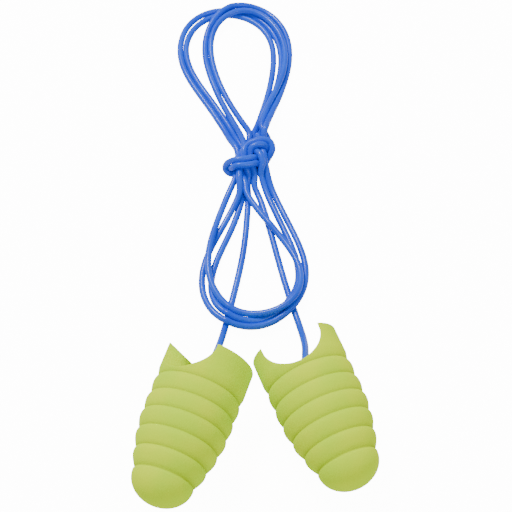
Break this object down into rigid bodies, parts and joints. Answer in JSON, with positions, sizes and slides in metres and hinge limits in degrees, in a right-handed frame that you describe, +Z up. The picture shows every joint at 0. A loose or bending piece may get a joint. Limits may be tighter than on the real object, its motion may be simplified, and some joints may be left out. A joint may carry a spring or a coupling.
{
  "type": "corded foam ear plugs",
  "caption": "Pair of ringed, tapered foam ear plugs with a finger scoop in each base, joined by one soft cord that is looped and tied round itself.",
  "frame": {"origin": "on the surface that the plugs lie on, under the middle of the box round the two plugs", "axes": "+X from the left plug to the right plug, +Y from the plugs' noses towards the looped cord, +Z up from the surface"},
  "size_m": [0.0356, 0.0994, 0.0135],
  "materials": {
    "plug_foam": "soft matt foam",
    "cord_vinyl": "smooth gloss",
    "bond_adhesive": "clear gloss"
  },
  "bodies": {
    "root": {"left_plug": "plug_foam", "right_plug": "plug_foam", "left_cord_bond": "bond_adhesive", "right_cord_bond": "bond_adhesive", "cord_left_tail": "cord_vinyl", "cord_right_tail": "cord_vinyl", "cord_lower_loops": "cord_vinyl", "cord_knot": "cord_vinyl", "cord_upper_loops": "cord_vinyl"}
  },
  "joints": []
}
